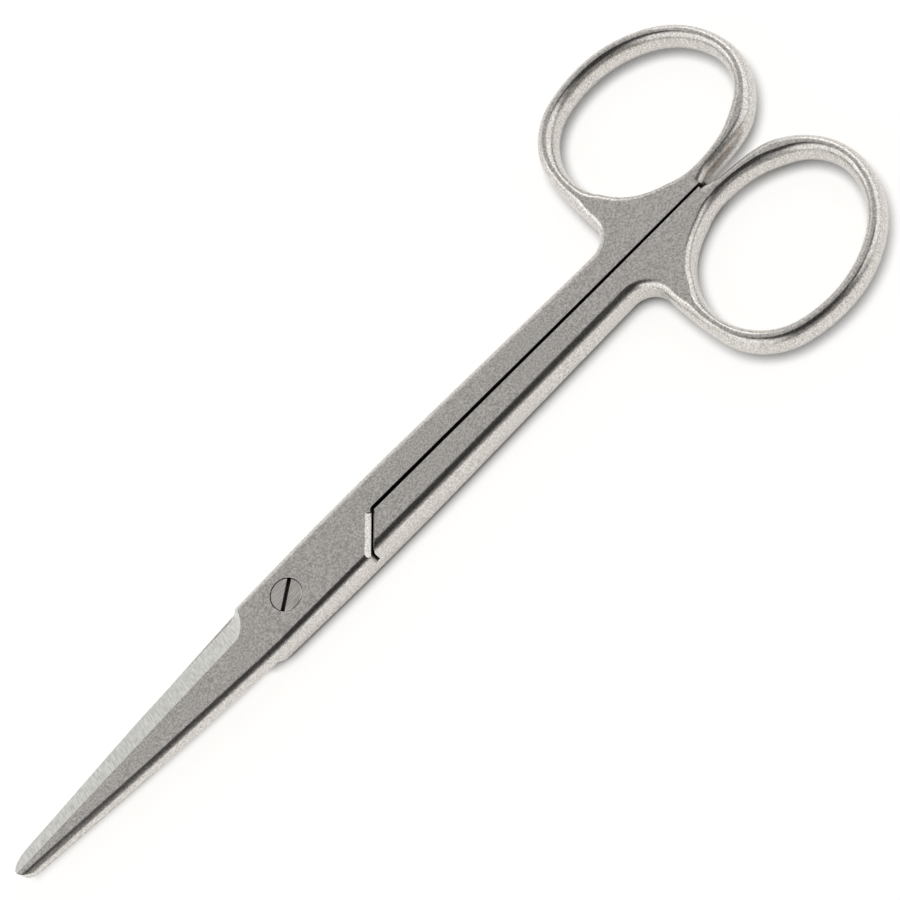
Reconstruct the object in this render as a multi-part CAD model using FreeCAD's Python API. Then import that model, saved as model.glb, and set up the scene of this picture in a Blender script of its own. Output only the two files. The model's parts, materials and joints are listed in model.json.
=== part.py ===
import FreeCAD, Part

import math
import os

from FreeCAD import Vector

# Dissecting scissors with straight blunt blades, a lap joint and two finger rings, all sizes in millimetres.
# X runs from the tips (-X) to the rings (+X), Z runs up, and the pivot axis is the Z axis.
# Both halves are worked out about the ride plane, where the blades slide on each other, and raised at the end
# so that the underside of the joint lies on Z = 0.

# Joint; a half's near side is the one that its ring and its cutting edge lie on, and its far side the other
JOINT_THICKNESS = 5.6
JOINT_NEAR_HALF_WIDTH = 4.62
JOINT_FAR_HALF_WIDTH = 4.9
JOINT_FLAT_FRONT = -5.5
JOINT_FLAT_REAR = 16.0
JOINT_NEAR_FRONT = 8.0
JOINT_NEAR_REAR = 22.0
JOINT_FAR_FRONT = -6.0
RIDE_GAP = 0.06

# Blade, with its half widths at three places along it; the nose beyond the toe is half an ellipse
BLADE_LENGTH = 51.0
NOSE_LENGTH = 3.5
BLADE_TIP_THICKNESS = 1.45
ROOT_AT = 9.6
ROOT_HALF_WIDTH = 4.30
BELLY_AT = 27.0
BELLY_HALF_WIDTH = 3.58
TOE_HALF_WIDTH = 2.0

# Ground bevel, from a ridge on the outer face down to the cutting edge
BEVEL_ROOT_AT = 9.2
RIDGE_ROOT_OFFSET = 0.45
RIDGE_TIP_OFFSET = -0.35
CUTTING_EDGE_LAND = 0.12
RUN_OUT_RADIUS = 3.6

# Hollow grind of the inner blade face
HOLLOW_DEPTH = 0.12
HOLLOW_CROSS_RADIUS = 35.0
HOLLOW_ROOT_AT = 8.5

# Finger ring; each ring has its own place along the scissors, and its curve reaches past the middle line
RING_FRONT = 63.25
LOWER_RING_SETBACK = 0.5
RING_HALF_LENGTH = 15.15
RING_HALF_WIDTH = 13.6
RING_OVERLAP = 0.45
RING_BAND = 2.5
RING_THICKNESS = 4.5
OUTLINE_TOLERANCE = 0.15

# Shank, which ends inside the ring
SHANK_HALF_WIDTH = 3.9
SHANK_END_BEFORE_CENTRE = 1.9
TAPER_END = 57.0
PLATE_BLEND_RADIUS = 300.0
FLANK_BLEND_RADIUS = 200.0
WEB_FILLET_RADIUS = 3.4
NEAR_EDGE_RADIUS = 1.25
FAR_EDGE_RADIUS = 1.0
BORE_EDGE_RADIUS = 1.0
UNDERSIDE_CHAMFER = 0.8

# Seam between the two shanks, a little narrower at the rings than at the joint
SEAM_GAP = 0.60
SEAM_END_GAP = 0.47

# Step between one half's lap and the other half's shank
STEP_ANGLE = 48.7
SHOULDER_CORNER = 16.1
STEP_GAP = 0.42
STEP_CORNER_RADIUS = 0.8
LAP_CHAMFER_WIDTH = 0.70
LAP_CHAMFER_DEPTH = 0.50
LAP_CHAMFER_START = 0.2
SHOULDER_CHAMFER = 0.25
SHOULDER_CHAMFER_START = 0.4

# Pivot screw
HEAD_DIAMETER = 4.5
HEAD_THICKNESS = 1.3
HEAD_CHAMFER = 0.10
SHAFT_DIAMETER = 3.2
SHAFT_RECESS = 0.10
SLOT_WIDTH = 0.60
SLOT_DEPTH = 0.75
SLOT_ANGLE = 37.6
PIVOT_CLEARANCE = 0.05
HEAD_CLEARANCE = 0.06
HEAD_SEAT_GAP = 0.05

# Half values, places that follow from the sizes, and limits of the cutting volumes
HALF_THICKNESS = JOINT_THICKNESS / 2.0
HALF_RING = RING_THICKNESS / 2.0
HALF_RIDE_GAP = RIDE_GAP / 2.0
TOE_AT = BLADE_LENGTH - NOSE_LENGTH
RING_CENTRE_Y = RING_HALF_WIDTH - RING_OVERLAP
OVERALL_REAR = RING_FRONT + 2.0 * RING_HALF_LENGTH
REACH = 2.0 * (OVERALL_REAR + BLADE_LENGTH)
DEEP = JOINT_THICKNESS
TOUCH = 0.001
UP = Vector(0, 0, 1)
SIDEWAYS = Vector(0, 1, 0)


def rounded_polyline(points, radii):
    """Edges through the points, with a tangent arc of the given radius at each inner point, or none for 0."""
    edges = []
    start = points[0]
    for before, corner, after, radius in zip(points, points[1:], points[2:], radii):
        if radius > 0:
            towards_before = (before - corner).normalize()
            towards_after = (after - corner).normalize()
            half_angle = towards_before.getAngle(towards_after) / 2.0
            tangent = radius / math.tan(half_angle)
            arc_start = corner + towards_before * tangent
            arc_end = corner + towards_after * tangent
            bisector = (towards_before + towards_after).normalize()
            middle = corner + bisector * (radius / math.sin(half_angle) - radius)
            edges.append(Part.LineSegment(start, arc_start).toShape())
            edges.append(Part.Arc(arc_start, middle, arc_end).toShape())
            start = arc_end
        else:
            edges.append(Part.LineSegment(start, corner).toShape())
            start = corner
    edges.append(Part.LineSegment(start, points[-1]).toShape())
    return edges


def prism(edges, low, high):
    """The plan outline made of the edges, raised from the low to the high level."""
    outline = Part.Face(Part.Wire(Part.__sortEdges__(edges)))
    outline.translate(UP * low)
    return outline.extrude(UP * (high - low))


def closed_curve(points):
    """Edges of a smooth closed curve of tangent arcs that keeps to the points."""
    curve = Part.BSplineCurve()
    curve.interpolate(Points=points, PeriodicFlag=True)
    return [arc.toShape() for arc in curve.toBiArcs(OUTLINE_TOLERANCE)]


def plate_volume():
    """The side view of one half: flat cheeks at the joint, a thin tip and a level ring plate."""
    tip_x = -BLADE_LENGTH
    over = NOSE_LENGTH * (BLADE_TIP_THICKNESS - HALF_THICKNESS) / (tip_x - JOINT_FLAT_FRONT)
    upper = [
        Vector(tip_x - NOSE_LENGTH, 0, BLADE_TIP_THICKNESS - over),
        Vector(JOINT_FLAT_FRONT, 0, HALF_THICKNESS),
        Vector(JOINT_FLAT_REAR, 0, HALF_THICKNESS),
        Vector(TAPER_END, 0, HALF_RING),
        Vector(REACH, 0, HALF_RING),
    ]
    lower = [Vector(point.x, 0, -point.z) for point in upper]
    blends = [PLATE_BLEND_RADIUS, PLATE_BLEND_RADIUS, PLATE_BLEND_RADIUS]
    edges = rounded_polyline(upper, blends) + rounded_polyline(lower, blends)
    edges.append(Part.LineSegment(upper[0], lower[0]).toShape())
    edges.append(Part.LineSegment(upper[-1], lower[-1]).toShape())
    side = Part.Face(Part.Wire(Part.__sortEdges__(edges)))
    side.translate(SIDEWAYS * -REACH)
    return side.extrude(SIDEWAYS * 2.0 * REACH)


def near_side(shank_end):
    """Plan line of the ring's side, from the shank's end to past the tip: flank, waist and cutting edge."""
    toe = Vector(-TOE_AT, TOE_HALF_WIDTH, 0)
    belly = Vector(-BELLY_AT, BELLY_HALF_WIDTH, 0)
    points = [
        Vector(shank_end, SHANK_HALF_WIDTH, 0),
        Vector(JOINT_NEAR_REAR, JOINT_NEAR_HALF_WIDTH, 0),
        Vector(JOINT_NEAR_FRONT, JOINT_NEAR_HALF_WIDTH, 0),
        Vector(-ROOT_AT, ROOT_HALF_WIDTH, 0),
        belly,
        past_tip(belly, toe),
    ]
    blends = [FLANK_BLEND_RADIUS, FLANK_BLEND_RADIUS, FLANK_BLEND_RADIUS, FLANK_BLEND_RADIUS]
    return rounded_polyline(points, blends), points


def far_side(shank_end):
    """Plan line of the other side: lap, then the back of the blade."""
    toe = Vector(-TOE_AT, -TOE_HALF_WIDTH, 0)
    belly = Vector(-BELLY_AT, -BELLY_HALF_WIDTH, 0)
    points = [
        Vector(shank_end, -JOINT_FAR_HALF_WIDTH, 0),
        Vector(JOINT_FAR_FRONT, -JOINT_FAR_HALF_WIDTH, 0),
        belly,
        past_tip(belly, toe),
    ]
    return rounded_polyline(points, [FLANK_BLEND_RADIUS / 2.0, FLANK_BLEND_RADIUS]), points


def past_tip(belly, toe):
    """The point that the blade's side runs to, past the tip, where the nose cuts it off."""
    return toe + (toe - belly) * (2.0 * NOSE_LENGTH / (TOE_AT - BELLY_AT))


def bar_outline(shank_end):
    """Plan outline of blade, joint and shank, with the blade left long."""
    near, near_points = near_side(shank_end)
    far, far_points = far_side(shank_end)
    rear = Part.LineSegment(near_points[0], far_points[0]).toShape()
    front = Part.LineSegment(near_points[-1], far_points[-1]).toShape()
    return near + far + [rear, front]


def nose_volume():
    """Everything behind the rounded nose of the blade."""
    side = Vector(-TOE_AT, TOE_HALF_WIDTH, 0)
    tip = Vector(-BLADE_LENGTH, 0, 0)
    ellipse = Part.Ellipse(tip, side, Vector(-TOE_AT, 0, 0))
    rim = Part.Arc(ellipse, -math.pi / 2.0, math.pi / 2.0).toShape()
    around = [
        side,
        Vector(-TOE_AT, REACH, 0),
        Vector(REACH, REACH, 0),
        Vector(REACH, -REACH, 0),
        Vector(-TOE_AT, -REACH, 0),
        Vector(-TOE_AT, -TOE_HALF_WIDTH, 0),
    ]
    return prism([rim] + rounded_polyline(around, [0, 0, 0, 0]), -DEEP, DEEP)


def ring_points(centre, half_length, half_width, shape):
    """Points round the ring centre, given as shares of its half length and half width."""
    return [centre + Vector(along * half_length, across * half_width, 0) for along, across in shape]


def ring_outline(centre):
    """Outer plan curve of the finger ring: flat towards the shank, round at the end, and past the seam."""
    shape = [
        (-0.08, -0.95), (-0.515, -1.01), (-0.875, -0.87), (-1.01, -0.365), (-0.99, 0.17),
        (-0.805, 0.71), (-0.385, 0.95), (0.11, 0.975), (0.57, 0.77), (0.885, 0.40),
        (1.0, -0.085), (0.85, -0.55), (0.475, -0.855),
    ]
    return closed_curve(ring_points(centre, RING_HALF_LENGTH, RING_HALF_WIDTH, shape))


def bore_outline(centre):
    """Plan curve of the finger hole, cut short on the shank side, where the web fills the corner."""
    shape = [
        (-1.0, -0.015), (-0.92, 0.50), (-0.645, 0.84), (-0.18, 0.975), (0.30, 0.905),
        (0.70, 0.64), (0.955, 0.21), (0.97, -0.29), (0.715, -0.67), (0.315, -0.86),
        (-0.115, -0.895), (-0.535, -0.765), (-0.845, -0.475),
    ]
    return closed_curve(ring_points(centre, RING_HALF_LENGTH - RING_BAND, RING_HALF_WIDTH - RING_BAND, shape))


def step_line(corner_x, y):
    """A point on the slanted step that starts at corner_x on the middle line."""
    return Vector(corner_x - abs(y) / math.tan(math.radians(STEP_ANGLE)), y, 0)


def seam_points():
    """The seam side of a half behind the step: parallel beside the step, then closing a little to the rings."""
    slope = (SEAM_END_GAP - SEAM_GAP) / 2.0 / (RING_FRONT - JOINT_NEAR_REAR)
    beyond = OVERALL_REAR + RING_BAND
    return [
        Vector(JOINT_NEAR_REAR, SEAM_GAP / 2.0, 0),
        Vector(beyond, SEAM_GAP / 2.0 + slope * (beyond - JOINT_NEAR_REAR), 0),
    ]


def joint_volume():
    """What the joint leaves of a half: lap and blade above the ride plane, shank at full thickness."""
    seam = SEAM_GAP / 2.0
    lap_corner = SHOULDER_CORNER - STEP_GAP / math.sin(math.radians(STEP_ANGLE))
    turn = lap_corner + seam / math.tan(math.radians(STEP_ANGLE))
    lap = [Vector(-REACH, -REACH, 0), step_line(lap_corner, -REACH), Vector(turn, seam, 0)]
    lap += seam_points() + [Vector(REACH, REACH, 0), Vector(-REACH, REACH, 0), Vector(-REACH, -REACH, 0)]
    lap_radii = [0, STEP_CORNER_RADIUS, 0, 0, 0, 0]
    shank = [Vector(REACH, REACH, 0), step_line(SHOULDER_CORNER, REACH), step_line(SHOULDER_CORNER, seam)]
    shank += seam_points() + [Vector(REACH, REACH, 0)]
    shank_radii = [0, STEP_CORNER_RADIUS, 0, 0]
    upper = prism(rounded_polyline(lap, lap_radii), HALF_RIDE_GAP, DEEP)
    whole = prism(rounded_polyline(shank, shank_radii), -DEEP, DEEP)
    return upper.fuse(whole).removeSplitter()


def rolled(solid, edges, radius):
    """The solid with the listed edges rounded."""
    return solid.makeFillet(radius, edges)


def outer_edges(solid):
    """Long edges round the top and bottom faces of the blank, without the lines that cross them."""
    chosen = []
    for edge in solid.Edges:
        box = edge.BoundBox
        crosses = box.XLength < TOUCH
        upright = box.ZMin < 0 and box.ZMax > 0
        if not crosses and not upright:
            chosen.append(edge)
    return chosen


def is_far(edge):
    """Whether a long edge lies on the far side, along the lap and the back of the blade."""
    return edge.BoundBox.YMax < 0 and edge.BoundBox.XMin < RING_FRONT - RING_BAND


def web(shank_end, ring):
    """The web in the corner between the shank's flank and the finger ring, as an arc that touches both."""
    flank_end, flank_start = near_side(shank_end)[1][:2]
    along = (flank_end - flank_start).normalize()
    away = UP.cross(along) * WEB_FILLET_RADIUS
    rim = Part.Wire(Part.__sortEdges__(ring))
    low = 0.0
    high = flank_start.distanceToPoint(flank_end)
    while high - low > TOUCH * TOUCH:
        arc_centre = flank_start + along * ((low + high) / 2.0) + away
        gap = rim.distToShape(Part.Vertex(arc_centre))[0]
        if arc_centre.x > RING_FRONT or gap < WEB_FILLET_RADIUS:
            high = (low + high) / 2.0
        else:
            low = (low + high) / 2.0
    on_flank = arc_centre - away
    on_ring = rim.distToShape(Part.Vertex(arc_centre))[1][0][0]
    inward = ((on_flank - arc_centre) + (on_ring - arc_centre)).normalize() * WEB_FILLET_RADIUS
    arc = Part.Arc(on_flank, arc_centre + inward, on_ring).toShape()
    inner = arc_centre + inward * 2.0
    return prism([arc] + rounded_polyline([on_ring, inner, on_flank], [0]), -DEEP, DEEP)


def blank(centre, underside):
    """The forging before the joint is cut: full bar and ring plate, with its edges broken all round.

    The near side's edges are rounded on the face that shows and chamfered on the underside, which is 1 where
    the underside is this forging's upper face and -1 where it is the lower one.
    """
    shank_end = centre.x - SHANK_END_BEFORE_CENTRE
    bar = prism(bar_outline(shank_end), -DEEP, DEEP)
    ring = ring_outline(centre)
    plan = bar.fuse(prism(ring, -DEEP, DEEP)).fuse(web(shank_end, ring)).removeSplitter()
    body = plan.common(plate_volume()).Solids[0]
    near = [edge for edge in outer_edges(body) if not is_far(edge)]
    body = rolled(body, facing(near, -underside), NEAR_EDGE_RADIUS)
    near = [edge for edge in outer_edges(body) if not is_far(edge)]
    body = body.makeChamfer(UNDERSIDE_CHAMFER, facing(near, underside))
    body = rolled(body, [edge for edge in outer_edges(body) if is_far(edge)], FAR_EDGE_RADIUS)
    bore = prism(bore_outline(centre), -DEEP, DEEP)
    body = body.cut(bore)
    body = rolled(body, facing(rims(body, bore), -underside), BORE_EDGE_RADIUS)
    return body.makeChamfer(UNDERSIDE_CHAMFER, facing(rims(body, bore), underside))


def facing(edges, side):
    """The edges that lie on the upper face for 1, or on the lower face for -1."""
    return [edge for edge in edges if edge.CenterOfMass.z * side > 0]


def rims(solid, bore):
    """The edges of the finger hole on the top and bottom faces, where the cutter has left its wall."""
    chosen = []
    for edge in solid.Edges:
        middle = Part.Vertex(edge.valueAt((edge.FirstParameter + edge.LastParameter) / 2.0))
        if edge.BoundBox.ZLength < TOUCH and bore.Shells[0].distToShape(middle)[0] < TOUCH:
            chosen.append(edge)
    return chosen


def outer_level(x):
    """Height of the outer blade face above the ride plane's middle, at a place along the blade."""
    share = (x - JOINT_FLAT_FRONT) / (-BLADE_LENGTH - JOINT_FLAT_FRONT)
    return HALF_THICKNESS + share * (BLADE_TIP_THICKNESS - HALF_THICKNESS)


def bevel_section(x, half_width):
    """Ridge and cutting edge of the bevel at one place along the blade."""
    share = (-x - BEVEL_ROOT_AT) / (BLADE_LENGTH - BEVEL_ROOT_AT)
    ridge_y = RIDGE_ROOT_OFFSET + share * (RIDGE_TIP_OFFSET - RIDGE_ROOT_OFFSET)
    ridge = Vector(x, ridge_y, outer_level(x))
    edge = Vector(x, half_width, HALF_RIDE_GAP + CUTTING_EDGE_LAND)
    return ridge, edge


def edge_half_width(x):
    """Half width of the blade's plan outline at a place along it."""
    across = Part.LineSegment(Vector(x, 0, 0), Vector(x, 2.0 * JOINT_FAR_HALF_WIDTH, 0)).toShape()
    near, _ = near_side(RING_FRONT)
    for line in near:
        gap, pairs, _ = line.distToShape(across)
        if gap < TOUCH:
            return pairs[0][0].y
    raise ValueError("no blade outline at this place")


def bevel_volume():
    """What the grinding of the bevel takes away, with the curved run-out at the root of the blade."""
    sections = []
    root_x = -BEVEL_ROOT_AT
    beyond_x = -BLADE_LENGTH - NOSE_LENGTH
    for x in (root_x, -BELLY_AT, -TOE_AT, beyond_x):
        ridge, edge = bevel_section(x, edge_half_width(max(x, -BLADE_LENGTH)))
        over = ridge + (ridge - edge)
        under = edge + (edge - ridge)
        outside = edge + Vector(0, JOINT_THICKNESS, 2.0 * JOINT_THICKNESS)
        sections.append(Part.makePolygon([over, under, outside, over]))
    ground = Part.makeLoft(sections, True, False)
    ridge, edge = bevel_section(root_x, edge_half_width(root_x))
    down = (edge - ridge).normalize()
    out = Vector(1, 0, 0).cross(down)
    if out.z < 0:
        out = out * -1.0
    along = Vector(1, 0, 0) * RUN_OUT_RADIUS
    start = ridge - down * JOINT_THICKNESS
    turn = start + along * math.sin(math.pi / 4.0) + out * (RUN_OUT_RADIUS * (1.0 - math.cos(math.pi / 4.0)))
    finish = start + along + out * RUN_OUT_RADIUS
    top = out * 2.0 * JOINT_THICKNESS
    profile = [
        Part.Arc(start, turn, finish).toShape(),
        Part.LineSegment(finish, start + along + top).toShape(),
        Part.LineSegment(start + along + top, start + top).toShape(),
        Part.LineSegment(start + top, start).toShape(),
    ]
    length = JOINT_THICKNESS + 2.0 * JOINT_FAR_HALF_WIDTH
    run_out = Part.Face(Part.Wire(Part.__sortEdges__(profile))).extrude(down * length)
    return ground, run_out


def hollow_volume():
    """The shallow barrel-shaped hollow ground into the inner face, so that only the edges meet."""
    floor = HALF_RIDE_GAP
    start = Vector(-HOLLOW_ROOT_AT, 0, floor)
    end = Vector(-BLADE_LENGTH - HOLLOW_DEPTH, 0, floor)
    middle = (start + end) * 0.5 + UP * HOLLOW_DEPTH
    axis_z = middle.z - HOLLOW_CROSS_RADIUS
    start_axis = Vector(start.x, 0, axis_z)
    end_axis = Vector(end.x, 0, axis_z)
    outline = [
        Part.Arc(start, middle, end).toShape(),
        Part.LineSegment(end, end_axis).toShape(),
        Part.LineSegment(end_axis, start_axis).toShape(),
        Part.LineSegment(start_axis, start).toShape(),
    ]
    return Part.Face(Part.Wire(outline)).revolve(Vector(0, 0, axis_z), Vector(1, 0, 0), 360)


def edge_break(corner, along, outward, width, depth, length):
    """A wedge that breaks a straight edge through the corner point, on the upper side."""
    over = corner - outward * 2.0 * width + UP * depth
    under = corner + outward * width - UP * 2.0 * depth
    outside = corner + outward * 2.0 * width + UP * 2.0 * depth
    wedge = Part.Face(Part.makePolygon([over, under, outside, over]))
    return wedge.extrude(along * length)


def lap_chamfer():
    """The wide chamfer along the lap's slanted edge."""
    angle = math.radians(STEP_ANGLE)
    lap_corner = SHOULDER_CORNER - STEP_GAP / math.sin(angle)
    away = Vector(-math.cos(angle), -math.sin(angle), 0)
    outward = Vector(math.sin(angle), -math.cos(angle), 0)
    start = Vector(lap_corner, 0, HALF_THICKNESS) + away * LAP_CHAMFER_START
    return edge_break(start, away, outward, LAP_CHAMFER_WIDTH, LAP_CHAMFER_DEPTH, 2.0 * JOINT_FAR_HALF_WIDTH)


def shoulder_chamfer():
    """The small edge break along the shoulder that faces the other half's lap, on the far side."""
    angle = math.radians(STEP_ANGLE)
    away = Vector(-math.cos(angle), -math.sin(angle), 0)
    outward = Vector(-math.sin(angle), math.cos(angle), 0)
    start = Vector(SHOULDER_CORNER, 0, HALF_THICKNESS) + away * SHOULDER_CHAMFER_START
    wedge = edge_break(start, away, outward, SHOULDER_CHAMFER, SHOULDER_CHAMFER, 2.0 * JOINT_FAR_HALF_WIDTH)
    return turned(wedge)


def turned(shape):
    """The shape turned half a turn about the long axis, which makes one half's form into the other's."""
    return shape.rotated(Vector(0, 0, 0), Vector(1, 0, 0), 180)


def half(ring_setback, underside):
    """One half about the ride plane, with its blade on the upper side and before its pivot hole."""
    centre = Vector(RING_FRONT + RING_HALF_LENGTH - ring_setback, RING_CENTRE_Y, 0)
    body = blank(centre, underside).common(nose_volume()).common(joint_volume())
    for volume in bevel_volume():
        body = body.cut(volume)
    body = body.cut(hollow_volume())
    body = body.cut(lap_chamfer())
    return body.cut(shoulder_chamfer())


def cylinder(diameter, low, high):
    """A cylinder on the pivot axis."""
    return Part.makeCylinder(diameter / 2.0, high - low, Vector(0, 0, low), UP)


def upper_half():
    """The half with its lap on top: clearance hole and the seat for the screw head."""
    body = half(0, -1)
    body = body.cut(cylinder(SHAFT_DIAMETER + 2.0 * PIVOT_CLEARANCE, -DEEP, DEEP))
    seat = HALF_THICKNESS - HEAD_THICKNESS - HEAD_SEAT_GAP
    return body.cut(cylinder(HEAD_DIAMETER + 2.0 * HEAD_CLEARANCE, seat, DEEP))


def lower_half():
    """The half with its lap beneath, with the hole that the screw is driven into."""
    return turned(half(LOWER_RING_SETBACK, 1)).cut(cylinder(SHAFT_DIAMETER, -DEEP, DEEP))


def pivot_screw():
    """Slotted cheese-head screw, flush with the upper cheek."""
    head = cylinder(HEAD_DIAMETER, HALF_THICKNESS - HEAD_THICKNESS, HALF_THICKNESS)
    rim = [edge for edge in head.Edges if edge.BoundBox.ZMin > HALF_THICKNESS - HEAD_THICKNESS / 2.0]
    head = head.makeChamfer(HEAD_CHAMFER, rim)
    shaft = cylinder(SHAFT_DIAMETER, -HALF_THICKNESS + SHAFT_RECESS, HALF_THICKNESS - HEAD_THICKNESS)
    corner = Vector(-HEAD_DIAMETER, -SLOT_WIDTH / 2.0, HALF_THICKNESS - SLOT_DEPTH)
    slot = Part.makeBox(2.0 * HEAD_DIAMETER, SLOT_WIDTH, 2.0 * SLOT_DEPTH, corner)
    slot.rotate(Vector(0, 0, 0), UP, SLOT_ANGLE)
    return head.fuse(shaft).removeSplitter().cut(slot)


def write(name, shape):
    """One piece as a solid, raised so that the underside of the joint is at zero."""
    solid = shape.Solids[0]
    solid.translate(UP * HALF_THICKNESS)
    solid.exportStep("parts/" + name + ".step")
    print(name, "valid", solid.isValid(), "solids", len(shape.Solids), "volume", round(solid.Volume, 1))


os.makedirs("parts", exist_ok=True)
write("upper_half", upper_half())
write("lower_half", lower_half())
write("pivot_screw", pivot_screw())
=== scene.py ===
"""Looks of the straight dissecting scissors: satin steel halves, ground bevels and a slotted pivot screw.

The three solids come from the frame. The screw is dressed as it is, and each half is a merged copy of its
solid with the finger ring worked to an oval limb. This script gives each piece its finish, lays the scissors
on a pale table under soft light, and looks at them from the photograph's side.
"""

import json
import logging
import math
from dataclasses import dataclass
from enum import Enum
from typing import Any, ClassVar

import bmesh
import bpy
from mathutils import Matrix, Vector


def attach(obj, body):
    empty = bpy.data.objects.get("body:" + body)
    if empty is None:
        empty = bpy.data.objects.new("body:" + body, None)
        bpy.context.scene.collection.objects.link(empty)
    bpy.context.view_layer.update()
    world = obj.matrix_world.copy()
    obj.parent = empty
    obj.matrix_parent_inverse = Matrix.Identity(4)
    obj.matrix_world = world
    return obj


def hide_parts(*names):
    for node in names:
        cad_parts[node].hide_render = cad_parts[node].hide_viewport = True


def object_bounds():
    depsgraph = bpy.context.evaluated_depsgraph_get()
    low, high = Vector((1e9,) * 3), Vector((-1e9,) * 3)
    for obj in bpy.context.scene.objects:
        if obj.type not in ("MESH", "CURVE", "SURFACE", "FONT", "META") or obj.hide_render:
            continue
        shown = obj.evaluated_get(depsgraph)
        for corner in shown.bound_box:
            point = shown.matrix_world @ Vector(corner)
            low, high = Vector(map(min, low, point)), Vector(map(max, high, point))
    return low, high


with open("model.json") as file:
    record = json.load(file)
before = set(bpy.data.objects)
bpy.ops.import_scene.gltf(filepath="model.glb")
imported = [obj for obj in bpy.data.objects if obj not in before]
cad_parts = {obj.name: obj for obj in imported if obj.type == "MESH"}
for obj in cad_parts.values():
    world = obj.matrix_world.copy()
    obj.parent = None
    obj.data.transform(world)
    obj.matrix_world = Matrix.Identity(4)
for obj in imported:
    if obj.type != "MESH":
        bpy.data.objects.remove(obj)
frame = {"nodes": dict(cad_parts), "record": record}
CAD_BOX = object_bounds()

MM = 0.001  # in metres
IMAGE_SIDE = 900  # in pixels
SENSOR_WIDTH = 36.0  # in millimetres
SKY_SAMPLES = 8  # rays by which a gap or a contact is found

Tree = bpy.types.NodeTree
Socket = bpy.types.NodeSocket
Layers = tuple[Socket, Socket, Socket]

log = logging.getLogger("scissors")


class Grain(Enum):
    """Which way the marks of the finishing tool run, as the stretch of the grain along X, Y and Z."""

    EVEN = (1.0, 1.0, 1.0)
    LENGTHWISE = (12.0, 1.0, 1.0)
    CROSSWISE = (1.0, 9.0, 9.0)


class Facet(Enum):
    """Which way a blade's ground facet leans, as the sign of its normal along Y and Z."""

    REAR_AND_UP = 1.0
    FRONT_AND_DOWN = -1.0


class Mixed(Enum):
    """What a Mix node blends, as its data type, the numbers of its two inputs and that of its output."""

    NUMBER = ("FLOAT", 2, 3, 0)
    VECTOR = ("VECTOR", 4, 5, 1)
    COLOUR = ("RGBA", 6, 7, 2)


def linear(hex_colour: str) -> tuple[float, float, float, float]:
    """Turns an sRGB colour into the linear colour that the shaders take.

    Args:
        hex_colour: six hex digits after a hash sign.

    Returns:
        Red, green, blue and an alpha of 1.
    """
    channels = [int(hex_colour[i : i + 2], 16) / 255.0 for i in (1, 3, 5)]
    red, green, blue = (c / 12.92 if c <= 0.04045 else ((c + 0.055) / 1.055) ** 2.4 for c in channels)
    return red, green, blue, 1.0


def add_node(tree: Tree, kind: str, inputs: dict[Any, Any], **settings: Any) -> bpy.types.Node:
    """Adds a shader node, sets it up and links it.

    Args:
        tree: the material's node tree.
        kind: the node's type name, without its ShaderNode prefix.
        inputs: a value or another node's output for each input, by name or number.
        settings: the node's own properties.

    Returns:
        The new node.
    """
    node = tree.nodes.new("ShaderNode" + kind)
    for name, value in settings.items():
        setattr(node, name, value)
    for key, value in inputs.items():
        if isinstance(value, Socket):
            tree.links.new(value, node.inputs[key])
        else:
            node.inputs[key].default_value = value
    return node


def empty_material(name: str) -> bpy.types.Material:
    """Makes a material with an empty node tree.

    Args:
        name: the material's name.

    Returns:
        The new material.
    """
    material = bpy.data.materials.new(name)
    material.use_nodes = True
    material.node_tree.nodes.clear()
    return material


@dataclass(frozen=True)
class SteelSurface:
    """One kind of worked surface on hardened stainless steel, with all lengths in millimetres.

    Attributes:
        bright_hex: colour of the metal on the high spots.
        dull_hex: colour of the metal in the pits and between the marks.
        roughness: mean roughness of the surface.
        roughness_spread: how far the roughness swings from place to place.
        grain_mm: width of one pit or tool mark.
        grain_depth_mm: depth of one pit or tool mark.
        grain: which way the marks run.
        octaves: how many finer sizes of mark lie on the first.
        octave_weight: how much each finer size counts.
        pit_noise: the noise at which the metal is a pit's floor.
        crest_noise: the noise at which the metal is a high spot.
    """

    bright_hex: str
    dull_hex: str
    roughness: float
    roughness_spread: float
    grain_mm: float
    grain_depth_mm: float
    grain: Grain
    octaves: ClassVar[float] = 3.0
    octave_weight: ClassVar[float] = 0.6
    pit_noise: ClassVar[float] = 0.35
    crest_noise: ClassVar[float] = 0.65

    def pattern(self, tree: Tree, place: Socket) -> Socket:
        """Lays the marks over the surface.

        Args:
            tree: the material's node tree.
            place: object coordinates.

        Returns:
            The height of the surface between 0 and 1.
        """
        marks_per_metre = tuple(1.0 / (stretch * self.grain_mm * MM) for stretch in self.grain.value)
        mapping = add_node(tree, "Mapping", {"Vector": place, "Scale": marks_per_metre})
        noise = add_node(
            tree,
            "TexNoise",
            {
                "Vector": mapping.outputs["Vector"],
                "Scale": 1.0,
                "Detail": self.octaves,
                "Roughness": self.octave_weight,
            },
        )
        height = add_node(
            tree,
            "MapRange",
            {"Value": noise.outputs["Fac"], "From Min": self.pit_noise, "From Max": self.crest_noise},
        )
        return height.outputs["Result"]


# Fine glass-bead blast over a brushed blank: a soft, slightly warm grey with pits too small to count.
# The real pits are about 0.05 mm across, and are drawn wider here so that they show in the picture.
SATIN = SteelSurface("#ECE8E3", "#B2AEA9", 0.285, 0.005, 0.26, 0.0036, Grain.EVEN)

# Belt-ground facet: brighter and cooler than the blasted steel, with faint scratches across the blade.
# The real scratches are about 0.03 mm wide, and are drawn wider here for the same reason.
GROUND = SteelSurface("#DCDCD8", "#B8B8B4", 0.285, 0.005, 0.18, 0.0018, Grain.CROSSWISE)

# Turned and faced screw head, rubbed down with the cheek that it lies flush with: even grey, hardly any grain.
FACED = SteelSurface("#E4E0DB", "#BAB6B1", 0.285, 0.005, 0.18, 0.0020, Grain.LENGTHWISE)


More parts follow.
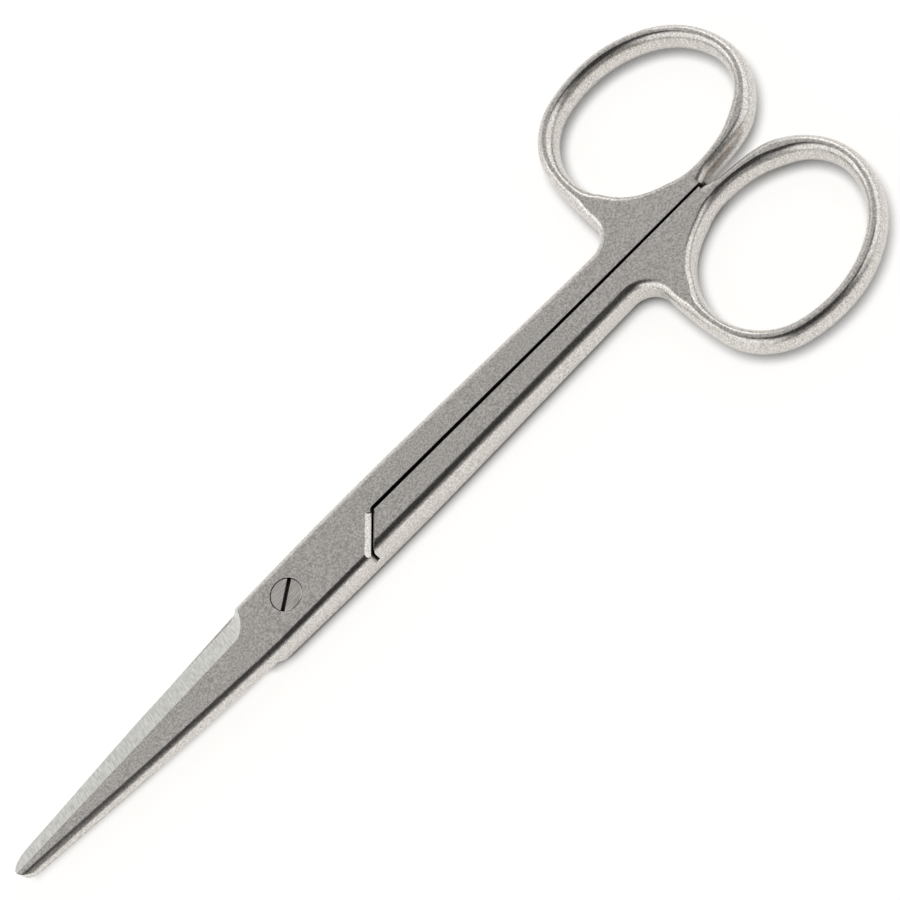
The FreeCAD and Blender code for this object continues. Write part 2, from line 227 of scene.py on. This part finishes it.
@dataclass(frozen=True)
class BladeGrind:
    """Where a blade is ground instead of blasted.

    Attributes:
        root_mm: distance of the run-out from the pivot.
        lean: least share of the normal along Y on the ground facet.
        level: least share of the normal along Z on the ground facet.
    """

    root_mm: float = 5.5
    lean: float = 0.22
    level: float = 0.30

    def mask(self, tree: Tree, facet: Facet) -> Socket:
        """Marks the ground facet of one blade.

        Args:
            tree: the material's node tree.
            facet: which way the facet leans.

        Returns:
            1 on the facet and 0 elsewhere.
        """
        coordinates = add_node(tree, "TexCoord", {})
        place = add_node(tree, "SeparateXYZ", {0: coordinates.outputs["Object"]})
        facing = add_node(tree, "SeparateXYZ", {0: coordinates.outputs["Normal"]})
        found = add_node(tree, "Math", {0: place.outputs["X"], 1: -self.root_mm * MM}, operation="LESS_THAN")
        for axis, least in (("Y", self.lean), ("Z", self.level)):
            turned = add_node(tree, "Math", {0: facing.outputs[axis], 1: facet.value}, operation="MULTIPLY")
            leans = add_node(tree, "Math", {0: turned.outputs[0], 1: least}, operation="GREATER_THAN")
            found = add_node(tree, "Math", {0: found.outputs[0], 1: leans.outputs[0]}, operation="MULTIPLY")
        return found.outputs[0]


@dataclass(frozen=True)
class SteelFinish:
    """A steel material that shows one surface, or two with a mask between them.

    Attributes:
        name: the material's name.
        main: the surface over most of the piece.
        ground: the surface of the ground facet, or None.
        facet: which way the ground facet leans.
        oil_and_shade_hex: colour of the painted shade in the gaps, which also stands for the oil and dirt
            there.
        gap_mm: how wide a gap still gets the painted shade.
        shade_from: share of open sky at which the metal is painted fully dark.
        shade_to: share of open sky from which no shade is painted on the metal.
        cloud_mm: width of the patches in which the blast came out finer or coarser.
        cloud_octaves: how many finer sizes of patch lie on the first.
        cloud_low: the noise at which a patch is smoothest.
        cloud_high: the noise at which a patch is roughest.
    """

    name: str
    main: SteelSurface
    ground: SteelSurface | None = None
    facet: Facet = Facet.REAR_AND_UP
    oil_and_shade_hex: str = "#1C1B1A"
    gap_mm: float = 1.2
    shade_from: float = 0.22
    shade_to: float = 0.50
    cloud_mm: float = 7.0
    cloud_octaves: float = 2.0
    cloud_low: float = 0.3
    cloud_high: float = 0.7

    def build(self) -> bpy.types.Material:
        """Builds the material.

        Returns:
            The new material.
        """
        material = empty_material(self.name)
        tree = material.node_tree
        place = add_node(tree, "TexCoord", {}).outputs["Object"]
        patches_per_metre = 1.0 / (self.cloud_mm * MM)
        cloud = add_node(
            tree, "TexNoise", {"Vector": place, "Scale": patches_per_metre, "Detail": self.cloud_octaves}
        ).outputs["Fac"]
        layers = self.layers(tree, place, cloud, self.main)
        if self.ground is not None:
            mask = BladeGrind().mask(tree, self.facet)
            layers = self.masked(tree, mask, layers, self.layers(tree, place, cloud, self.ground))
        colour, rough, bump = layers
        # Painted shade: the metal's colour is darkened in the narrow gaps by ambient occlusion, also standing
        # for oil there.
        colour = self.painted_gap_shade(tree, colour)
        shader = add_node(
            tree, "BsdfPrincipled", {"Base Color": colour, "Metallic": 1.0, "Roughness": rough, "Normal": bump}
        )
        add_node(tree, "OutputMaterial", {"Surface": shader.outputs["BSDF"]})
        return material

    def layers(self, tree: Tree, place: Socket, cloud: Socket, surface: SteelSurface) -> Layers:
        """Turns a surface's marks into colour, roughness and relief.

        Args:
            tree: the material's node tree.
            place: object coordinates.
            cloud: broad, soft variation between 0 and 1.
            surface: the surface to draw.

        Returns:
            Colour, roughness and normal.
        """
        height = surface.pattern(tree, place)
        kind, pit, crest, out = Mixed.COLOUR.value
        tones = {0: height, pit: linear(surface.dull_hex), crest: linear(surface.bright_hex)}
        colour = add_node(tree, "Mix", tones, data_type=kind)
        rough = add_node(
            tree,
            "MapRange",
            {
                "Value": cloud,
                "From Min": self.cloud_low,
                "From Max": self.cloud_high,
                "To Min": surface.roughness - surface.roughness_spread,
                "To Max": surface.roughness + surface.roughness_spread,
            },
        )
        relief = {"Strength": 1.0, "Distance": surface.grain_depth_mm * MM, "Height": height}
        bump = add_node(tree, "Bump", relief)
        return colour.outputs[out], rough.outputs["Result"], bump.outputs["Normal"]

    @staticmethod
    def masked(tree: Tree, mask: Socket, outside: Layers, inside: Layers) -> Layers:
        """Shows one surface's layers where the mask is 1 and another's elsewhere.

        Args:
            tree: the material's node tree.
            mask: 0 or 1.
            outside: the layers outside the mask.
            inside: the layers on the mask.

        Returns:
            Colour, roughness and normal of both together.
        """
        shown = []
        for mixed, first, second in zip((Mixed.COLOUR, Mixed.NUMBER, Mixed.VECTOR), outside, inside):
            kind, a, b, out = mixed.value
            shown.append(add_node(tree, "Mix", {0: mask, a: first, b: second}, data_type=kind).outputs[out])
        return tuple(shown)

    def painted_gap_shade(self, tree: Tree, colour: Socket) -> Socket:
        """Paints shade into the metal's colour deep in the narrow gaps, found by ambient occlusion; the dark
        colour also stands for the oil that collects where the buffing wheel never reaches.

        Args:
            tree: the material's node tree.
            colour: the metal's own colour.

        Returns:
            The colour with the gaps darkened.
        """
        # Painted shade: ambient occlusion pulls the colour towards the dark gap colour where the metal is
        # closed in.
        open_sky = add_node(tree, "AmbientOcclusion", {"Distance": self.gap_mm * MM}, samples=SKY_SAMPLES)
        unshaded_share = add_node(
            tree,
            "MapRange",
            {"Value": open_sky.outputs["AO"], "From Min": self.shade_from, "From Max": self.shade_to},
        )
        kind, shade_input, metal_input, out = Mixed.COLOUR.value
        tones = {0: unshaded_share.outputs["Result"], shade_input: linear(self.oil_and_shade_hex), metal_input: colour}
        return add_node(tree, "Mix", tones, data_type=kind).outputs[out]


@dataclass(frozen=True)
class Wall:
    """One straight stretch of a ring's upright wall, seen in plan, in metres.

    Attributes:
        start: one end.
        end: the other end.
        away: the direction out of the metal.
    """

    start: Vector
    end: Vector
    away: Vector

    def distance(self, place: Vector) -> float:
        """Measures how far a point in plan lies from the wall.

        Args:
            place: the point.

        Returns:
            The distance in metres.
        """
        run = self.end - self.start
        share = min(max((place - self.start).dot(run) / run.length_squared, 0.0), 1.0)
        return (place - self.start - run * share).length


@dataclass(frozen=True)
class RoundedHalf:
    """One half with its finger ring worked to the oval limb of the real one, with all lengths in millimetres.

    The solid's ring has upright walls between its rounded and chamfered edges. Here the walls are drawn in
    above and below the middle of the limb, and the change fades out where the limb widens into the web.

    Attributes:
        node: the half's name in the frame.
        body: the body that the half rides on.
        opening: the record's name for the finger hole.
        zone_front: distance from the pivot at which the work starts.
        middle_height: height of the limb's middle above the table.
        half_height: half the limb's height.
        flat_share: how much of the oval's curve is taken, where 1 would end in a knife edge above and below.
        limb_width: width up to which the limb is fully oval.
        web_width: width from which the metal keeps its shape.
        levels: where the walls are cut, as shares of the half height.
        crease: angle above which an edge stays sharp, in radians.
        merge: how near two points of the mesh count as one.
        upright: greatest share of the normal along Z on an upright wall.
        plan_digits: decimals of a metre to which the walls' ends are rounded.
        tie: distance in metres below which two walls count as equally near.
        area_weight: how much the larger faces govern the shading, where 50 is even.
    """

    node: str
    body: str
    opening: str
    zone_front: float = 62.0
    middle_height: float = 2.8
    half_height: float = 2.25
    flat_share: float = 0.97
    limb_width: float = 2.8
    web_width: float = 3.8
    levels: tuple[float, ...] = (
        -0.97, -0.92, -0.84, -0.75, -0.55, -0.42, -0.28, -0.14, 0.0,
        0.14, 0.28, 0.42, 0.6, 0.75, 0.85, 0.92, 0.97,
    )
    crease: float = math.radians(24.0)
    merge: float = 0.0005
    upright: float = 0.02
    plan_digits: int = 6
    tie: float = 1e-9
    area_weight: int = 100

    def build(self) -> bpy.types.Object:
        """Builds the piece from a merged copy of the solid and puts it in the solid's place.

        Returns:
            The new piece.
        """
        solid = frame["nodes"][self.node]
        piece = bpy.data.objects.new(self.node + "_finished", solid.data.copy())
        bpy.context.scene.collection.objects.link(piece)
        bpy.ops.object.select_all(action="DESELECT")
        bpy.context.view_layer.objects.active = piece
        piece.select_set(True)
        bpy.ops.mesh.customdata_custom_splitnormals_clear()
        self.work_ring(piece.data)
        bpy.ops.object.shade_smooth_by_angle(angle=self.crease)
        even = piece.modifiers.new("even_normals", "WEIGHTED_NORMAL")
        even.keep_sharp = True
        even.weight = self.area_weight
        bpy.ops.object.modifier_apply(modifier=even.name)
        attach(piece, self.body)
        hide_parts(self.node)
        return piece

    def work_ring(self, data: bpy.types.Mesh) -> None:
        """Merges the mesh and rounds the ring's limb.

        Args:
            data: the piece's mesh.
        """
        mesh = bmesh.new()
        mesh.from_mesh(data)
        bmesh.ops.remove_doubles(mesh, verts=mesh.verts, dist=self.merge * MM)
        outer, bore = self.walls(mesh)
        self.cut_levels(mesh)
        self.round_limb(mesh, outer, bore)
        mesh.to_mesh(data)
        mesh.free()

    def walls(self, mesh: bmesh.types.BMesh) -> tuple[list[Wall], list[Wall]]:
        """Finds the ring's upright walls in plan.

        Args:
            mesh: the half's mesh.

        Returns:
            The outer walls and the finger hole's walls.
        """
        box = next(o["box_m"] for o in frame["record"]["physics"]["openings"] if o["name"] == self.opening)
        centre = (Vector(box[0]) + Vector(box[1])) / 2
        mesh.normal_update()
        outer, bore = {}, {}
        for face in mesh.faces:
            if abs(face.normal.z) > self.upright or face.calc_center_median().x < self.zone_front * MM:
                continue
            ends = sorted({tuple(round(c, self.plan_digits) for c in v.co.xy) for v in face.verts})
            if len(ends) < 2:
                continue
            wall = Wall(Vector(ends[0]), Vector(ends[-1]), face.normal.to_2d().normalized())
            inwards = wall.away.dot(centre.to_2d() - (wall.start + wall.end) / 2) > 0
            (bore if inwards else outer)[ends[0], ends[-1]] = wall
        log.info("%s: %d outer and %d bore walls", self.node, len(outer), len(bore))
        return list(outer.values()), list(bore.values())

    def cut_levels(self, mesh: bmesh.types.BMesh) -> None:
        """Cuts the ring's walls level by level, so that they can be curved.

        Args:
            mesh: the half's mesh.
        """
        for level in self.levels:
            height = (self.middle_height + level * self.half_height) * MM
            faces = [f for f in mesh.faces if min(v.co.x for v in f.verts) > self.zone_front * MM]
            edges = {e for f in faces for e in f.edges}
            verts = {v for f in faces for v in f.verts}
            bmesh.ops.bisect_plane(
                mesh,
                geom=[*faces, *edges, *verts],
                dist=self.merge * MM,
                plane_co=(0.0, 0.0, height),
                plane_no=(0.0, 0.0, 1.0),
            )

    def nearest(self, place: Vector, walls: list[Wall]) -> tuple[float, Vector]:
        """Finds the wall nearest to a point.

        Args:
            place: a point in plan.
            walls: the walls to choose from.

        Returns:
            The distance and the wall's direction out of the metal.
        """
        best = (math.inf, Vector((0.0, 0.0)))
        for wall in walls:
            distance = wall.distance(place)
            if distance < best[0] - self.tie:
                best = (distance, wall.away)
        return best

    def round_limb(self, mesh: bmesh.types.BMesh, outer: list[Wall], bore: list[Wall]) -> None:
        """Draws the limb's surface in to an oval section, with a soft start and end of the fade to the web.

        Args:
            mesh: the half's mesh.
            outer: the outer walls.
            bore: the finger hole's walls.
        """
        for vert in mesh.verts:
            if vert.co.x < self.zone_front * MM:
                continue
            place = vert.co.to_2d()
            to_outer, outer_away = self.nearest(place, outer)
            to_bore, bore_away = self.nearest(place, bore)
            width = to_outer + to_bore
            fade = (self.web_width * MM - width) / ((self.web_width - self.limb_width) * MM)
            fade = min(max(fade, 0.0), 1.0)
            rise = min(abs(vert.co.z / MM - self.middle_height) / self.half_height, 1.0)
            inset = width / 2 * (1.0 - math.sqrt(1.0 - self.flat_share * rise * rise))
            depth, away = min((to_outer, outer_away), (to_bore, bore_away), key=lambda found: found[0])
            if inset > depth:
                vert.co -= (away * (inset - depth) * fade * fade * (3.0 - 2.0 * fade)).to_3d()


@dataclass(frozen=True)
class Scissors:
    """The three pieces of the scissors: the halves with their rings worked over, and the screw's own solid.

    Attributes:
        upper: the half whose blade lies on top.
        lower: the half whose blade lies beneath.
        screw: the screw's name in the frame.
        steel_slot: the record's material slot of the halves.
        screw_slot: the record's material slot of the screw.
    """

    upper: RoundedHalf = RoundedHalf("upper_half", "upper", "upper_ring_hole")
    lower: RoundedHalf = RoundedHalf("lower_half", "lower", "lower_ring_hole")
    screw: str = "pivot_screw"
    steel_slot: str = "satin_steel"
    screw_slot: str = "screw_steel"

    @staticmethod
    def dress(piece: bpy.types.Object, slot: str, finish: SteelFinish) -> None:
        """Gives one piece its finish.

        Args:
            piece: the piece.
            slot: the record's material slot; not used.
            finish: the finish to build.
        """
        piece.data.materials.clear()
        piece.data.materials.append(finish.build())
        log.info("%s dressed in %s", piece.name, finish.name)

    def build(self) -> None:
        """Builds the halves and dresses them and the screw."""
        upper_steel = SteelFinish("satin_steel_upper", SATIN, GROUND, Facet.REAR_AND_UP)
        lower_steel = SteelFinish("satin_steel_lower", SATIN, GROUND, Facet.FRONT_AND_DOWN)
        self.dress(self.upper.build(), self.steel_slot, upper_steel)
        self.dress(self.lower.build(), self.steel_slot, lower_steel)
        self.dress(frame["nodes"][self.screw], self.screw_slot, SteelFinish("faced_screw_steel", FACED))


@dataclass(frozen=True)
class Table:
    """The pale table under the scissors, with all lengths in metres.

    Attributes:
        radius: how far the table reaches.
        sides: how many sides its outline has.
        paper_hex: colour of the paper to the eye and in the steel.
        matt_hex: colour with which the paper takes light and shadow.
        lift: how strongly the paper shows its own colour.
        shadow_reach: how near something must lie to paint a contact shadow into the paper's glow under it.
        shadow_dark_below: share of open sky at which the painted shadow is darkest.
        shadow_clear_above: share of open sky from which no shadow is painted and the paper shows fully.
    """

    radius: float = 6.0
    sides: int = 96
    paper_hex: str = "#F4F3F1"
    matt_hex: str = "#7C7B7A"
    lift: float = 1.0
    shadow_reach: float = 0.0022
    shadow_dark_below: float = 0.28
    shadow_clear_above: float = 0.80

    def build(self) -> None:
        """Lays the table top at the level of the scissors' underside."""
        bpy.ops.object.select_all(action="DESELECT")
        bpy.ops.mesh.primitive_circle_add(
            vertices=self.sides, radius=self.radius, fill_type="NGON", location=(0, 0, 0)
        )
        top = bpy.context.object
        top.name = "table_top"
        top.data.materials.append(self.paper())
        log.info("table laid, %.1f m across", 2 * self.radius)

    def paper(self) -> bpy.types.Material:
        """Makes the matt paper, which shows white to the eye and in the steel, takes the lamps' shadow in its
        matt part, and has a contact shadow painted into its glow near the scissors.

        Returns:
            The new material.
        """
        material = empty_material("matt_paper")
        tree = material.node_tree
        matt = add_node(tree, "BsdfDiffuse", {"Color": linear(self.matt_hex)})
        # Painted contact shadow: ambient occlusion dims the paper's glow where the scissors lie near it, also
        # as the steel sees it.
        open_sky = add_node(tree, "AmbientOcclusion", {"Distance": self.shadow_reach}, samples=SKY_SAMPLES)
        lift = add_node(
            tree,
            "MapRange",
            {
                "Value": open_sky.outputs["AO"],
                "From Min": self.shadow_dark_below,
                "From Max": self.shadow_clear_above,
                "To Max": self.lift,
            },
        )
        glow = add_node(
            tree, "Emission", {"Color": linear(self.paper_hex), "Strength": lift.outputs["Result"]}
        )
        ray = add_node(tree, "LightPath", {})
        seen = ray.outputs["Is Camera Ray"]
        for other in ("Is Glossy Ray", "Is Transmission Ray"):
            seen = add_node(tree, "Math", {0: seen, 1: ray.outputs[other]}, operation="MAXIMUM").outputs[0]
        both = add_node(tree, "AddShader", {0: matt.outputs[0], 1: glow.outputs[0]})
        shown = add_node(tree, "MixShader", {0: seen, 1: matt.outputs[0], 2: both.outputs[0]})
        add_node(tree, "OutputMaterial", {"Surface": shown.outputs[0]})
        return material


@dataclass(frozen=True)
class Softbox:
    """A flat soft lamp that faces the scissors.

    Attributes:
        name: the lamp's name.
        azimuth: where it stands round the scissors, in degrees, 0 at +X and 90 at +Y.
        elevation: its height above the table, in degrees.
        distance: its distance from the scissors in metres.
        width: its level side in metres.
        height: its other side in metres.
        brightness: how bright its face looks, where 1 is white.
    """

    name: str
    azimuth: float
    elevation: float
    distance: float
    width: float
    height: float
    brightness: float

    def build(self, centre: Vector) -> None:
        """Sets up the lamp.

        Args:
            centre: the point that the lamp faces.
        """
        level = math.radians(self.azimuth)
        rise = math.radians(self.elevation)
        away = Vector((math.cos(level) * math.cos(rise), math.sin(level) * math.cos(rise), math.sin(rise)))
        data = bpy.data.lights.new(self.name, "AREA")
        data.shape = "RECTANGLE"
        data.size = self.width
        data.size_y = self.height
        data.energy = self.brightness * math.pi * self.width * self.height
        lamp = bpy.data.objects.new(self.name, data)
        bpy.context.scene.collection.objects.link(lamp)
        lamp.location = centre + away * self.distance
        lamp.rotation_mode = "QUATERNION"
        lamp.rotation_quaternion = away.to_track_quat("Z", "Y")
        log.info("lamp %s at brightness %.2f", self.name, self.brightness)


@dataclass(frozen=True)
class Studio:
    """Soft light from the back, the left and the right, and a low strip in the dim room on the camera's side.

    Attributes:
        boxes: the lamps.
        room_hex: colour of the room beyond them.
    """

    boxes: tuple[Softbox, ...] = (
        Softbox("top_rear_softbox", 90.0, 58.0, 1.0, 2.0, 0.80, 0.52),
        Softbox("rear_softbox", 90.0, 18.0, 1.2, 2.2, 0.75, 0.90),
        Softbox("front_strip", -90.0, 16.0, 1.2, 2.4, 0.28, 0.42),
        Softbox("left_softbox", 180.0, 28.0, 1.2, 2.7, 1.15, 1.2),
        Softbox("right_softbox", 0.0, 32.0, 1.2, 2.7, 1.25, 1.2),
    )
    room_hex: str = "#0D0D0E"

    def build(self, centre: Vector) -> None:
        """Sets up the lamps and the dim room.

        Args:
            centre: the middle of the scissors.
        """
        for box in self.boxes:
            box.build(centre)
        world = bpy.data.worlds.new("studio_room")
        world.use_nodes = True
        world.node_tree.nodes["Background"].inputs["Color"].default_value = linear(self.room_hex)
        bpy.context.scene.world = world


@dataclass(frozen=True)
class PhotoCamera:
    """The camera at the photograph's place: over the scissors, tilted back and rolled to lay them slantwise.

    Attributes:
        aim_mm: the point in the middle of the picture.
        tilt: how far the camera leans from straight above towards -Y, in degrees.
        roll: how far the scissors' long axis is turned in the picture, in degrees.
        distance_mm: how far the camera stands from the aim.
        focal_px: the focal length in pixels of the picture.
        near_clip: distance in metres from which things are seen.
    """

    aim_mm: tuple[float, float, float] = (28.53, -0.57, 2.8)
    tilt: float = 28.0
    roll: float = 45.0
    distance_mm: float = 355.3
    focal_px: float = 2700.0
    near_clip: float = 0.01

    def build(self) -> None:
        """Sets up the camera and makes it the scene's own."""
        tilt = math.radians(self.tilt)
        roll = math.radians(self.roll)
        along = Vector((1.0, 0.0, 0.0))
        across = Vector((0.0, math.cos(tilt), math.sin(tilt)))
        back = Vector((0.0, -math.sin(tilt), math.cos(tilt)))
        right = along * math.cos(roll) - across * math.sin(roll)
        up = along * math.sin(roll) + across * math.cos(roll)
        data = bpy.data.cameras.new("photo_camera")
        data.sensor_width = SENSOR_WIDTH
        data.lens = self.focal_px / IMAGE_SIDE * SENSOR_WIDTH
        data.clip_start = self.near_clip
        camera = bpy.data.objects.new("photo_camera", data)
        bpy.context.scene.collection.objects.link(camera)
        turn = Matrix((right, up, back)).transposed().to_4x4()
        place = Vector(self.aim_mm) * MM + back * self.distance_mm * MM
        camera.matrix_world = Matrix.Translation(place) @ turn
        bpy.context.scene.camera = camera
        log.info("camera %.0f mm from the scissors", self.distance_mm)


def write_sizes() -> None:
    """Brings the view layer up to date."""
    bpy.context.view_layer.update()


def main() -> None:
    """Dresses the scissors and sets up the table, the light and the camera."""
    logging.basicConfig(level=logging.INFO, format="%(name)s: %(message)s")
    low, high = CAD_BOX
    Scissors().build()
    Table().build()
    Studio().build((low + high) / 2)
    PhotoCamera().build()
    bpy.context.scene.view_settings.view_transform = "Standard"
    write_sizes()


if __name__ == "__main__":
    main()
